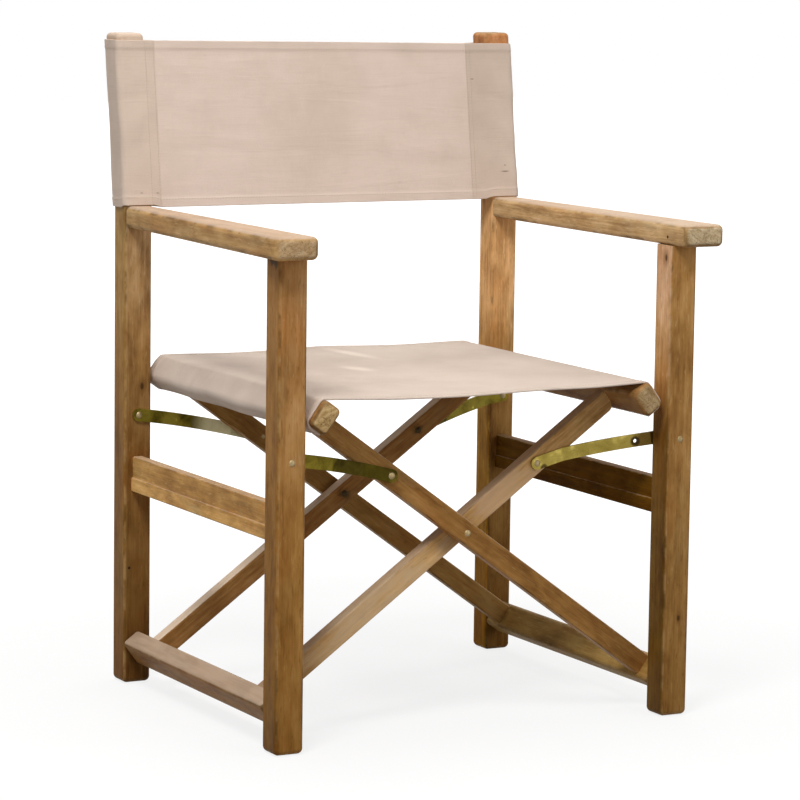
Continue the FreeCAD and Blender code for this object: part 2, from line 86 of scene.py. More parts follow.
class Graph:
    """A material with one Principled shader, built node by node. Place and normal are the object's own."""

    MIX_A, MIX_B, MIX_OUT = 6, 7, 2     # the colour sockets of a mix node
    VALUE_A, VALUE_B = 2, 3             # its value sockets

    def __init__(self, name):
        self.mat = bpy.data.materials.new(name)
        self.tree = empty_tree(self.mat)
        self.shader = self.node("ShaderNodeBsdfPrincipled")
        self.node("ShaderNodeOutputMaterial", {"Surface": self.shader.outputs[0]})
        coordinates = self.node("ShaderNodeTexCoord").outputs
        self.place, self.normal = coordinates["Object"], coordinates["Normal"]

    def put(self, socket, value):
        put(self.tree, socket, value)

    def node(self, kind, inputs=(), **settings):
        return make_node(self.tree, kind, inputs, **settings)

    def math(self, op, a, b=0.0):
        return self.node("ShaderNodeMath", {0: a, 1: b}, operation=op).outputs[0]

    def add(self, a, b):
        return self.math("ADD", a, b)

    def less(self, a, b):
        return self.math("SUBTRACT", a, b)

    def times(self, a, b):
        return self.math("MULTIPLY", a, b)

    def vec(self, op, a, b=(0, 0, 0)):
        n = self.node("ShaderNodeVectorMath", {0: a, 1: b}, operation=op)
        return n.outputs["Value" if op in ("DOT_PRODUCT", "LENGTH", "DISTANCE") else "Vector"]

    def dot(self, a, direction):
        return self.vec("DOT_PRODUCT", a, tuple(direction))

    def xyz(self, x, y, z):
        return self.node("ShaderNodeCombineXYZ", {0: x, 1: y, 2: z}).outputs[0]

    def noise(self, vector, scale, detail=2.0, rough=0.5, warp=0.0):
        inputs = {"Vector": vector, "Scale": scale, "Detail": detail, "Roughness": rough, "Distortion": warp}
        return self.node("ShaderNodeTexNoise", inputs).outputs[0]

    def line_noise(self, w, scale, detail=2.0, rough=0.5):
        inputs = {"W": w, "Scale": scale, "Detail": detail, "Roughness": rough}
        return self.node("ShaderNodeTexNoise", inputs, noise_dimensions="1D").outputs[0]

    def fit(self, value, low, high, to_low=0.0, to_high=1.0, smooth=True):
        inputs = {"Value": value, "From Min": low, "From Max": high, "To Min": to_low, "To Max": to_high}
        kind = "SMOOTHSTEP" if smooth else "LINEAR"
        return self.node("ShaderNodeMapRange", inputs, interpolation_type=kind).outputs[0]

    def ramp(self, value, stops):
        n = self.node("ShaderNodeValToRGB", {"Fac": value})
        elements = n.color_ramp.elements
        elements[0].position, elements[-1].position = stops[0][0], stops[-1][0]
        for place, _ in stops[1:-1]:
            elements.new(place)
        for element, (_, colour) in zip(elements, stops):
            element.color = (*colour, 1)
        return n.outputs[0]

    def mix(self, share, a, b, how="MIX"):
        n = self.node("ShaderNodeMix", data_type="RGBA", blend_type=how)
        self.put(n.inputs["Factor"], share)
        for socket, colour in ((self.MIX_A, a), (self.MIX_B, b)):
            self.put(n.inputs[socket], colour if isinstance(colour, bpy.types.NodeSocket) else (*colour, 1))
        return n.outputs[self.MIX_OUT]

    def mix_values(self, share, a, b):
        inputs = {"Factor": share, self.VALUE_A: a, self.VALUE_B: b}
        return self.node("ShaderNodeMix", inputs, data_type="FLOAT").outputs[0]

    def bump(self, height, strength, distance, normal=None):
        n = self.node("ShaderNodeBump", {"Height": height, "Strength": strength, "Distance": distance})
        if normal is not None:
            self.put(n.inputs["Normal"], normal)
        return n.outputs[0]

    def set(self, **values):
        for k, v in values.items():
            self.put(self.shader.inputs[k.replace("_", " ")], v)


def scaled(colour, share):
    return tuple(c * share for c in colour)


TINT_TOP = 4        # the strongest tint that a ramp of tints can hold
RAMP_HEIGHT = 0.9   # and its tallest place, above the chair's top
DARK_PORE = (0.075, 0.032, 0.008)
RED_WOOD, GREY_WOOD = (0.330, 0.122, 0.026), (0.300, 0.190, 0.082)
FLECK_DARK, FLECK_PALE = (0.135, 0.052, 0.012), (0.480, 0.300, 0.130)
# colours of the arrises: the first is partly rubbed wear and partly a painted highlight, the second partly
# dirt and partly painted shade
RUBBED_AND_HIGHLIGHT, GRIME_AND_SHADE, CHECK = (0.500, 0.320, 0.150), (0.085, 0.046, 0.012), (0.070, 0.036, 0.012)
KNOT_RING, KNOT, PIT = (0.140, 0.056, 0.012), (0.045, 0.020, 0.006), (0.020, 0.010, 0.005)
TEAK_STOPS = [
    (0.30, (0.110, 0.046, 0.011)),
    (0.42, (0.202, 0.091, 0.026)),
    (0.52, (0.288, 0.141, 0.043)),
    (0.62, (0.362, 0.189, 0.067)),
    (0.76, (0.450, 0.262, 0.115)),
]
END_STOPS = [
    (0.34, (0.185, 0.118, 0.052)),
    (0.45, (0.300, 0.202, 0.100)),
    (0.55, (0.385, 0.278, 0.155)),
    (0.68, (0.470, 0.365, 0.225)),
]


def teak(name, grain, across, seed, tint=(1, 1, 1), faces=(), pale=(), ends=(1.15, 1.15, 1.10), fields=(),
         knots=(), holes=(), gloss=0.05):
    """Oiled teak whose fibres run along the grain, in a solid pattern, so that cut ends show end grain.

    A tint is one colour, or a list of (height, colour). It holds for the whole piece, and those in faces,
    (direction, tint), for the faces that look that way; these tints paint light and shade as well as tone.
    Pale faces, (direction, share, colour), are paler, partly weathered and partly a painted highlight. Fields
    are soft marks, (place, size, colour, share), some of them painted shade. Knots and holes are (place,
    radius)."""
    g = Graph(name)
    grain = Vector(grain).normalized()
    side = Vector(across).normalized()
    third = grain.cross(side)
    place, normal = g.place, g.normal
    u, v, w = (g.dot(place, d) for d in (side, third, grain))
    draw = random.Random(seed)
    heart_u, heart_v = draw.uniform(-0.09, 0.09) + 0.05, draw.uniform(-0.06, 0.06) - 0.07
    along = draw.uniform(0, 3)

    def fibre(wide, long):
        """The place with this many cells a metre across the grain, and along it."""
        return g.xyz(g.times(u, wide), g.times(v, wide), g.add(g.times(w, long), along))

    def tinted(colour, tint):
        if not isinstance(tint, list):
            return g.mix(1.0, colour, tint, "MULTIPLY")
        height = g.math("DIVIDE", g.dot(place, UP), RAMP_HEIGHT)
        stops = g.ramp(height, [(z / RAMP_HEIGHT, scaled(shade, 1 / TINT_TOP)) for z, shade in tint])
        return g.vec("MULTIPLY", g.vec("MULTIPLY", colour, stops), (TINT_TOP, TINT_TOP, TINT_TOP))

    def facing(look):
        return g.fit(g.dot(normal, look), 0.55, 0.85)

    # growth rings, streaks, hairs, pores, clouds and flecks
    warp = g.noise(fibre(5.0, 0.9), 2.2, 3.0, 0.55)
    radius = g.vec("LENGTH", g.xyz(g.less(u, heart_u), g.less(v, heart_v), 0.0))
    radius = g.add(radius, g.times(warp, 0.045))
    rings = g.line_noise(radius, 150.0, 2.0, 0.55)
    wide = g.line_noise(radius, 40.0, 2.0, 0.5)
    streak = g.noise(fibre(170.0, 9.0), 1.0, 4.0, 0.6, 0.5)
    hair = g.noise(fibre(520.0, 16.0), 1.0, 3.0, 0.6, 0.25)
    pore = g.fit(g.noise(fibre(2200.0, 110.0), 1.0, 2.0, 0.6), 0.40, 0.29)
    cloud = g.noise(fibre(26.0, 9.0), 1.0, 3.0, 0.6, 0.3)
    patch = g.noise(fibre(60.0, 26.0), 1.0, 3.0, 0.55, 0.4)
    flecks = g.noise(fibre(330.0, 52.0), 1.0, 2.0, 0.55, 0.3)
    shade = g.times(rings, 0.14)
    for part, share in ((wide, 0.15), (streak, 0.24), (hair, 0.18), (cloud, 0.45), (patch, 0.34)):
        shade = g.add(shade, g.times(part, share))
    colour = g.ramp(g.less(shade, 0.23), TEAK_STOPS)
    colour = g.mix(g.fit(g.noise(fibre(15.0, 5.0), 1.0, 3.0, 0.6), 0.50, 0.70, 0.0, 0.40), colour, RED_WOOD)
    colour = g.mix(g.fit(g.noise(fibre(19.0, 7.0), 1.7, 4.0, 0.6), 0.52, 0.72, 0.0, 0.34), colour, GREY_WOOD)
    colour = g.mix(g.times(pore, 0.26), colour, DARK_PORE)
    colour = g.mix(g.fit(flecks, 0.40, 0.28, 0.0, 0.40), colour, FLECK_DARK)
    colour = g.mix(g.fit(flecks, 0.60, 0.74, 0.0, 0.30), colour, FLECK_PALE)
    colour = tinted(colour, tint)

    # cut ends are rougher, with dark open checks
    along_n, side_n, third_n = (g.math("ABSOLUTE", g.dot(normal, d)) for d in (grain, side, third))
    end = g.fit(along_n, 0.72, 0.95)
    spots = g.noise(place, 900.0, 1.0, 0.5)
    blot = g.noise(place, 90.0, 4.0, 0.62, 0.8)
    cut = g.add(g.times(rings, 0.30), g.times(blot, 0.50))
    cut = g.ramp(g.add(cut, g.times(spots, 0.20)), END_STOPS)
    veins = g.less(g.noise(place, 55.0, 3.0, 0.6, 1.2), 0.5)
    crack = g.fit(g.math("ABSOLUTE", veins), 0.020, 0.004)
    cut = g.mix(g.times(crack, 0.6), cut, CHECK)
    colour = g.mix(g.times(end, 0.85), colour, tinted(cut, ends))

    # arrises are lighter, partly rubbed wear and partly a painted highlight, and some are darker, partly dirt
    # and partly painted shade
    flat = g.math("MAXIMUM", g.math("MAXIMUM", along_n, side_n), third_n)
    edge = g.fit(flat, 0.985, 0.86)
    rubbed = g.times(edge, g.fit(g.noise(place, 34.0, 3.0, 0.6), 0.40, 0.62))
    colour = g.mix(g.times(rubbed, 0.38), colour, RUBBED_AND_HIGHLIGHT)
    grime_and_shade = g.times(edge, g.fit(g.noise(place, 26.0, 4.0, 0.6), 0.52, 0.36))
    colour = g.mix(g.times(grime_and_shade, 0.55), colour, GRIME_AND_SHADE)

    # faces of another tint, which paint light and shade on one side; pale faces, partly weathered and partly
    # a painted highlight; and single marks, some of them painted shade
    for look, face_light_tint in faces:
        colour = g.mix(facing(look), colour, tinted(colour, face_light_tint))
    # pale faces: partly weathered, partly a painted highlight of the light from above
    bleach_and_sheen_pattern = g.add(g.times(cloud, 0.6), g.times(streak, 0.4))
    for look, share, pale_and_lit_colour in pale:
        patchy = g.fit(bleach_and_sheen_pattern, 0.36, 0.62, share * 0.72, share)
        colour = g.mix(g.times(facing(look), patchy), colour, pale_and_lit_colour)
    for middle, size, mark, share in fields:
        away = g.vec("DIVIDE", g.vec("SUBTRACT", place, middle), size)
        near = g.add(g.vec("LENGTH", away), g.times(g.less(patch, 0.5), 1.6))
        colour = g.mix(g.fit(near, 1.0, 0.35, 0.0, share), colour, mark)
    for middle, size in knots:
        away = g.vec("SUBTRACT", place, middle)
        a, b, c = (g.dot(away, d) for d in (side, third, grain))
        near = g.vec("LENGTH", g.xyz(a, b, g.times(c, 0.55)))
        near = g.add(near, g.times(g.less(streak, 0.5), 0.003))
        colour = g.mix(g.fit(near, size * 2.6, size * 0.8, 0.0, 0.50), colour, KNOT_RING)
        colour = g.mix(g.fit(near, size, size * 0.45, 0.0, 0.80), colour, KNOT)
    relief = g.add(g.times(hair, 0.7), g.times(pore, -0.7))
    relief = g.less(relief, g.times(g.times(crack, end), 1.2))
    for middle, size in holes:
        pit = g.fit(g.vec("DISTANCE", place, middle), size, size * 0.7)
        colour = g.mix(g.times(pit, 0.92), colour, PIT)
        relief = g.less(relief, g.times(pit, 3.0))
    rough = g.fit(g.add(streak, g.times(pore, 0.3)), 0.3, 0.95, 0.42, 0.66, smooth=False)
    g.set(Base_Color=colour, Roughness=rough, Normal=g.bump(relief, 0.40, 0.00020), Specular_IOR_Level=gloss)
    return g.mat


BRASS_FILM, BRASS_SPECK = (0.047, 0.035, 0.0017), (0.040, 0.028, 0.006)
YELLOW_METAL = ((0.330, 0.235, 0.040), (0.500, 0.385, 0.085), (0.660, 0.545, 0.190))
OLIVE_METAL = ((0.330, 0.235, 0.022), (0.500, 0.385, 0.045), (0.640, 0.520, 0.110))
PALE_METAL = ((0.40, 0.28, 0.13), (0.56, 0.42, 0.23), (0.74, 0.60, 0.38))


def brass(name, seed, bright, film_share=1.0, shine=0.0, fields=()):
    """Aged brass: an olive film on the flats, bright metal where the narrow edges are rubbed.
    Fields are marks of another colour, (place, radius, colour, share); most are painted shade, and one is a
    painted highlight."""
    g = Graph(name)
    place = g.place
    drawn = g.noise(g.vec("MULTIPLY", place, (1.0, 60.0, 60.0)), 26.0, 4.0, 0.65)
    film = g.noise(g.vec("ADD", place, (seed * 0.7, 0, 0)), 46.0, 4.0, 0.62, 0.4)
    specks = g.noise(place, 420.0, 2.0, 0.5)
    y_face = g.math("ABSOLUTE", g.dot(g.normal, DEPTH))
    worn = g.math("MAXIMUM", g.fit(y_face, 0.45, 0.15), g.fit(film, 0.64 - shine, 0.80 - shine))
    covered = g.less(1.0, g.times(worn, 0.85))
    tarnish = g.times(covered, g.fit(film, 0.20, 0.62, 1.0, 0.70))
    metal = g.ramp(g.add(g.times(drawn, 0.6), g.times(film, 0.4)), list(zip((0.32, 0.52, 0.72), bright)))
    colour = g.mix(g.times(tarnish, film_share), metal, BRASS_FILM)
    for middle, size, mark, share in fields:
        near = g.add(g.vec("DISTANCE", place, middle), g.times(g.less(film, 0.5), size * 0.5))
        colour = g.mix(g.fit(near, size, size * 0.55, 0.0, share), colour, mark)
    colour = g.mix(g.fit(specks, 0.66, 0.76, 0.0, 0.5), colour, BRASS_SPECK)
    rough = g.add(g.fit(drawn, 0.3, 0.7, 0.28, 0.42, smooth=False), g.times(tarnish, 0.20))
    relief = g.add(drawn, g.times(specks, 0.4))
    g.set(Base_Color=colour, Roughness=rough, Metallic=g.fit(tarnish, 0.2, 0.9, 0.95, 0.70))
    g.set(Specular_IOR_Level=0.08, Normal=g.bump(relief, 0.30, 0.00012))
    return g.mat


def steel(name):
    """Drawn steel with some rust."""
    g = Graph(name)
    drawn = g.noise(g.vec("MULTIPLY", g.place, (1.0, 30.0, 30.0)), 40.0, 3.0, 0.6)
    rust = g.noise(g.place, 160.0, 3.0, 0.6)
    colour = g.ramp(drawn, [(0.3, (0.30, 0.29, 0.28)), (0.7, (0.50, 0.49, 0.47))])
    colour = g.mix(g.fit(rust, 0.60, 0.72, 0.0, 0.6), colour, (0.12, 0.06, 0.03))
    g.set(Base_Color=colour, Metallic=1.0, Roughness=g.fit(drawn, 0.3, 0.7, 0.28, 0.45))
    g.set(Normal=g.bump(drawn, 0.2, 0.0001))
    return g.mat


THREAD_PITCH = 0.00085
SEED_FLECK, CLOTH_STAIN, CLOTH_GLINT = (0.170, 0.110, 0.060), (0.150, 0.075, 0.030), (0.860, 0.730, 0.620)


def canvas(name, base, shade, seed, spots=(), streaks=(), creases=1.0):
    """Plain woven cotton canvas, whose threads follow the sheet's own map, which is in metres.

    Spots are brown stains, (place, width, height, share). Streaks are pale lines on a level cloth, a painted
    glint, (x, y, direction, half length, half width, share)."""
    g = Graph(name)
    uv = g.node("ShaderNodeUVMap", uv_map="cloth").outputs[0]
    place = g.place
    split = g.node("ShaderNodeSeparateXYZ", {0: uv})
    x, y = split.outputs[0], split.outputs[1]

    # warp and weft threads that pass over each other
    turn = 2 * math.pi / THREAD_PITCH
    wobble = g.noise(uv, 38.0, 3.0, 0.5)
    px = g.add(g.times(x, turn), g.times(wobble, 3.0))
    py = g.add(g.times(y, turn), g.times(wobble, -3.0))
    warp_thread = g.math("ABSOLUTE", g.math("SINE", g.times(px, 0.5)))
    weft_thread = g.math("ABSOLUTE", g.math("SINE", g.times(py, 0.5)))
    over = g.math("SINE", g.add(g.times(px, 0.5), math.pi / 2))
    under = g.math("SINE", g.add(g.times(py, 0.5), math.pi / 2))
    weave = g.mix_values(g.fit(g.times(over, under), -0.25, 0.25), warp_thread, weft_thread)
    slub_x = g.noise(g.vec("MULTIPLY", uv, (14, 900, 1)), 1.0, 3.0, 0.6)
    slub_y = g.noise(g.vec("MULTIPLY", uv, (900, 18, 1)), 1.0, 3.0, 0.6)

    # soil, uneven threads, seed flecks, stains and streaks of painted glint
    soil = g.noise(g.vec("ADD", place, (seed * 0.37, 0, 0)), 6.5, 4.0, 0.6)
    cloud = g.noise(g.vec("ADD", place, (0, seed * 0.21, 0)), 24.0, 3.0, 0.55)
    colour = g.mix(g.fit(soil, 0.34, 0.70), base, shade)
    colour = g.mix(g.fit(cloud, 0.45, 0.75, 0.0, 0.22), colour, scaled(shade, 0.86))
    colour = g.mix(g.fit(slub_x, 0.46, 0.74, 0.0, 0.20), colour, scaled(shade, 0.78))
    colour = g.mix(g.fit(slub_y, 0.50, 0.76, 0.0, 0.12), colour, scaled(base, 1.12))
    colour = g.mix(g.fit(weave, 0.55, 0.05, 0.0, 0.26), colour, scaled(shade, 0.55))
    fleck = g.noise(g.vec("MULTIPLY", uv, (120, 700, 1)), 1.0, 1.0, 0.5)
    colour = g.mix(g.fit(fleck, 0.76, 0.84, 0.0, 0.45), colour, SEED_FLECK)
    uneven = g.less(slub_x, 0.5)
    for middle, width, height, share in spots:
        away = g.vec("DIVIDE", g.vec("SUBTRACT", place, middle), (width, 0.5, height))
        near = g.add(g.vec("LENGTH", away), g.times(uneven, 0.9))
        colour = g.mix(g.fit(near, 1.0, 0.25, 0.0, share), colour, CLOTH_STAIN)
    # pale streaks: a painted glint of light
    for streak_x, streak_y, turned, half_length, half_width, share in streaks:
        away = g.vec("SUBTRACT", place, (streak_x, streak_y, 0))
        along = g.dot(away, (math.cos(turned) / half_length, math.sin(turned) / half_length, 0))
        across = g.dot(away, (-math.sin(turned) / half_width, math.cos(turned) / half_width, 0))
        near = g.add(g.vec("LENGTH", g.xyz(along, across, 0.0)), g.times(uneven, 0.8))
        colour = g.mix(g.fit(near, 1.0, 0.15, 0.0, share), colour, CLOTH_GLINT)

    # soft creases, and the threads on them
    fold = g.noise(g.vec("MULTIPLY", uv, (5.0, 30.0, 1)), 1.0, 4.0, 0.55, 0.6)
    soft = g.noise(g.vec("MULTIPLY", uv, (22.0, 14.0, 1)), 1.0, 3.0, 0.5, 0.4)
    normal = g.bump(g.add(g.times(fold, 0.8), g.times(soft, 0.5)), 0.5 * creases, 0.0035)
    threads = g.add(weave, g.times(g.add(slub_x, slub_y), 0.7))
    normal = g.bump(threads, 0.55, 0.00016, normal)
    g.set(Base_Color=colour, Roughness=g.fit(weave, 0.0, 1.0, 0.93, 0.80, smooth=False), Normal=normal)
    g.set(Specular_IOR_Level=0.18, Sheen_Weight=0.12, Sheen_Roughness=0.5)
    return g.mat


def thread(name, colour):
    """Twisted sewing thread."""
    g = Graph(name)
    twist = g.noise(g.vec("MULTIPLY", g.place, (900, 900, 900)), 1.0, 2.0, 0.6)
    soil = g.noise(g.place, 30.0, 3.0, 0.6)
    tint = g.mix(g.fit(soil, 0.35, 0.7, 0.0, 0.6), colour, scaled(colour, 0.72))
    tint = g.mix(g.fit(twist, 0.4, 0.7, 0.0, 0.35), tint, scaled(colour, 0.6))
    g.set(Base_Color=tint, Roughness=g.fit(twist, 0.3, 0.7, 0.55, 0.8), Normal=g.bump(twist, 0.4, 0.0001))
    g.set(Sheen_Weight=0.1)
    return g.mat


# The CAD nodes get their finishes. Seeds give each piece its own grain
# the first colour pales top faces, partly weathering and partly a painted highlight; the second darkens
# marks, partly stain and partly painted shade
BLEACHED_AND_LIT, STAIN_AND_SHADE = (0.640, 0.490, 0.365), (0.045, 0.024, 0.006)
REAR_RIVET, REAR_CROSS = (0.1118, 0.175, 0.3309), (0.0, 0.175, 0.2500)
# Tints by height on the posts paint shade low down and under the seat and light above it, and tints of faces
# that look left paint light and shade on that side
WOODS = {
    "front_left_post": dict(
        grain=UP, across=SIDE, seed=11,
        # painted shade low down, painted light high up, and painted shade on the left face
        tint=[(0.02, (0.80, 0.72, 0.45)), (0.25, (1.10, 1.05, 0.80)), (0.60, (1.38, 1.38, 1.50))],
        faces=[(LEFT, (0.90, 0.88, 0.76))],
        # painted shadow of the arm at the top of the post's left face
        fields=[((-0.2975, -0.236, 0.614), (0.010, 0.022, 0.014), STAIN_AND_SHADE, 0.9)],
    ),
    "front_right_post": dict(
        grain=UP, across=SIDE, seed=12,
        # painted shade low down and painted light high up; the left face has painted shade below the seat and
        # painted light above it
        tint=[(0.02, (0.85, 0.84, 0.66)), (0.25, (1.14, 1.19, 1.10)), (0.60, (1.38, 1.42, 1.38))],
        faces=[(LEFT, [(0.38, (0.56, 0.54, 0.34)), (0.45, (1.30, 1.38, 1.65)), (0.60, (1.50, 1.75, 3.20))])],
        knots=[((0.2585, -0.2426, 0.5984), 0.0035), ((0.2816, -0.2555, 0.1289), 0.0030)],
    ),
    "rear_left_post": dict(
        grain=UP, across=SIDE, seed=13,
        # painted shade low down and under the seat, painted light above it; the left face has painted light
        # and shade of its own
        tint=[
            (0.02, (0.50, 0.45, 0.31)), (0.30, (0.79, 0.79, 0.67)), (0.45, (1.15, 1.22, 1.28)),
            (0.62, (1.56, 1.95, 2.90)),
        ],
        faces=[(LEFT, [(0.05, (1.30, 1.30, 1.20)), (0.60, (1.00, 0.96, 0.70))])],
        knots=[((-0.2724, 0.2165, 0.4023), 0.0035)],
        holes=[((-0.2901, 0.2165, 0.1571), 0.0022)],
        fields=[((-0.280, 0.262, 0.872), (0.080, 0.080, 0.030), (0.660, 0.520, 0.420), 0.80)],
    ),
    "rear_right_post": dict(
        grain=UP, across=SIDE, seed=14,
        # painted shade low down, painted light above the seat; the left face has painted light and shade of
        # its own
        tint=[
            (0.05, (0.72, 0.68, 0.42)), (0.30, (1.10, 1.12, 0.90)), (0.42, (1.60, 1.74, 1.70)),
            (0.50, (2.35, 2.62, 3.40)), (0.80, (2.35, 2.62, 3.40)), (0.857, (1.70, 1.50, 1.80)),
        ],
        faces=[(LEFT, [(0.02, (1.85, 1.65, 0.52)), (0.25, (2.00, 2.00, 0.95)), (0.45, (1.05, 1.05, 1.05))])],
    ),
    "left_arm": dict(
        grain=DEPTH, across=SIDE, seed=15,
        tint=(1.68, 1.98, 2.40), ends=(1.40, 1.35, 1.38), pale=[(TOP, 0.72, (0.550, 0.425, 0.345))],
    ),
    "right_arm": dict(
        grain=DEPTH, across=SIDE, seed=16,
        # the inner face, which looks left, gets painted light
        tint=(1.45, 1.65, 2.05), faces=[(LEFT, (1.25, 1.40, 1.65))], ends=(1.7, 1.9, 2.2),
        pale=[(TOP, 0.80, BLEACHED_AND_LIT)],
        holes=[((0.2585, -0.2446, 0.6252), 0.0024)],
    ),
    "left_mid_rung": dict(
        grain=DEPTH, across=UP, seed=17,
        tint=[(0.272, (2.50, 2.85, 2.95)), (0.284, (1.95, 2.12, 2.05))], pale=[(TOP, 0.5, BLEACHED_AND_LIT)],
    ),
    "right_mid_rung": dict(
        # the tint is painted shade: the rung lies in the seat's shadow
        grain=DEPTH, across=UP, seed=18, tint=(0.50, 0.42, 0.10), pale=[(TOP, 0.25, BLEACHED_AND_LIT)], gloss=0.01,
    ),
    "left_foot_rail": dict(grain=DEPTH, across=BAR_RIGHT, seed=19, pale=[(BAR_RIGHT_TOP, 0.72, BLEACHED_AND_LIT)]),
    "right_foot_rail": dict(
        grain=DEPTH, across=BAR_LEFT, seed=20, tint=(1.28, 1.55, 1.42), pale=[(TOP, 0.2, BLEACHED_AND_LIT)],
    ),
    "left_seat_rail": dict(grain=DEPTH, across=BAR_LEFT, seed=21, ends=(1.6, 1.55, 1.3)),
    "right_seat_rail": dict(grain=DEPTH, across=BAR_RIGHT, seed=22),
    "inner_front_bar": dict(
        grain=BAR_RIGHT, across=DEPTH, seed=23,
        tint=[(0.075, (1.15, 1.20, 1.30)), (0.105, (1.75, 2.00, 2.30))],
        pale=[(BAR_RIGHT_TOP, 0.60, (0.46, 0.33, 0.25))],
        fields=[
            ((0.06, -0.190, 0.30), (0.115, 0.04, 0.085), (0.70, 0.47, 0.285), 0.60),
            ((-0.12, -0.190, 0.163), (0.20, 0.04, 0.15), (0.70, 0.52, 0.330), 0.55),
        ],
    ),
    "inner_rear_bar": dict(
        grain=BAR_RIGHT, across=DEPTH, seed=24,
        # the pale top face is painted light that lifts the shade under the seat
        tint=(1.12, 1.08, 1.03), pale=[(BAR_RIGHT_TOP, 0.90, (0.90, 0.72, 0.55))],
        # dark marks round the rear heads: painted shade under the seat, with some stain
        fields=[(head, (0.014, 0.05, 0.011), STAIN_AND_SHADE, 0.7) for head in (REAR_RIVET, REAR_CROSS)],
    ),
    "outer_front_bar": dict(
        grain=BAR_LEFT, across=DEPTH, seed=25, tint=(1.15, 1.15, 1.05), pale=[(BAR_LEFT_TOP, 0.50, BLEACHED_AND_LIT)],
    ),
    "outer_rear_bar": dict(
        grain=BAR_LEFT, across=DEPTH, seed=26, tint=(1.10, 1.15, 1.00), pale=[(BAR_LEFT_TOP, 0.45, BLEACHED_AND_LIT)],
    ),
}


def finish_node(name, material):
    mesh = nodes[name].data
    if not mesh.materials:
        mesh.materials.append(material)
    for n in range(len(mesh.materials)):
        mesh.materials[n] = material


def finish_nodes():
    for name, look in WOODS.items():
        finish_node(name, teak("teak_" + name, **look))
    dowel_wood = teak("teak_dowels", UP, SIDE, 31)
    strap_brass = brass("brass_straps", 3, OLIVE_METAL, shine=-0.04, fields=[
        ((-0.146, -0.212, 0.345), 0.066, (0.014, 0.009, 0.0002), 0.70),  # painted shade on the end at the front left
        ((-0.150, 0.208, 0.345), 0.056, (0.760, 0.690, 0.440), 0.60),    # painted highlight on the end at the rear left
    ])
    brown_end_shade = (0.030, 0.016, 0.004)
    yellow_brass = brass("brass_front_right_strap", 5, YELLOW_METAL, film_share=0.42, shine=0.10, fields=[
        ((0.266, -0.212, 0.361), 0.034, (0.100, 0.050, 0.010), 0.80),       # painted shade on the brown end at the post
        ((0.2388, -0.2078, 0.3577), 0.0080, (0.030, 0.016, 0.005), 0.90),   # dark ring round the spare hole
        # painted shade at the strap's lower end
        ((0.1220, -0.176, 0.3250), 0.0060, brown_end_shade, 0.85),
        ((0.1050, -0.176, 0.3400), 0.0050, brown_end_shade, 0.70),
    ])
    head_brass = brass("brass_heads", 9, PALE_METAL, film_share=0.55, fields=[
        ((0.1118, 0.165, 0.3309), 0.075, (0.020, 0.011, 0.002), 0.92),      # dark heads on the rear bar: painted shade under the seat
        ((0.0, 0.165, 0.2500), 0.075, (0.018, 0.010, 0.002), 0.92),
    ])
    pin_steel = steel("steel_pins")
    for name in nodes:
        if name.endswith("_dowels"):
            finish_node(name, dowel_wood)
        elif name.endswith("_pins"):
            finish_node(name, pin_steel)
        elif name.endswith("_stay"):
            finish_node(name, yellow_brass if name == "front_right_stay" else strap_brass)
        elif name.split("_")[-1] in ("rivet", "rivets", "bolts", "nuts", "washers"):
            finish_node(name, head_brass)


finish_nodes()


# Cloth. A line is a list of (point, normal), and a seam is such a line
RIM_BULGE = 0.55                    # how far a rim stands out, in half thicknesses
SHARP_EDGE = math.radians(50)
SAME_PLACE = 1e-7
STITCH_LENGTH, STITCH_GAP, THREAD_RADIUS, THREAD_SIDES = 0.0030, 0.0011, 0.00032, 6
STITCH_RINGS = (                    # (share of the length, height and radius in thread radii)
    (0.0, -0.9, 0.45), (0.16, 0.15, 0.95), (0.5, 0.45, 1.1), (0.84, 0.15, 0.95), (1.0, -0.9, 0.45),
)
SEAM_STEP = 1e-4                    # a step along a seam, to find its direction


def new_object(name, mesh, material):
    mesh.materials.append(material)
    obj = bpy.data.objects.new(name, mesh)
    bpy.context.scene.collection.objects.link(obj)
    return obj


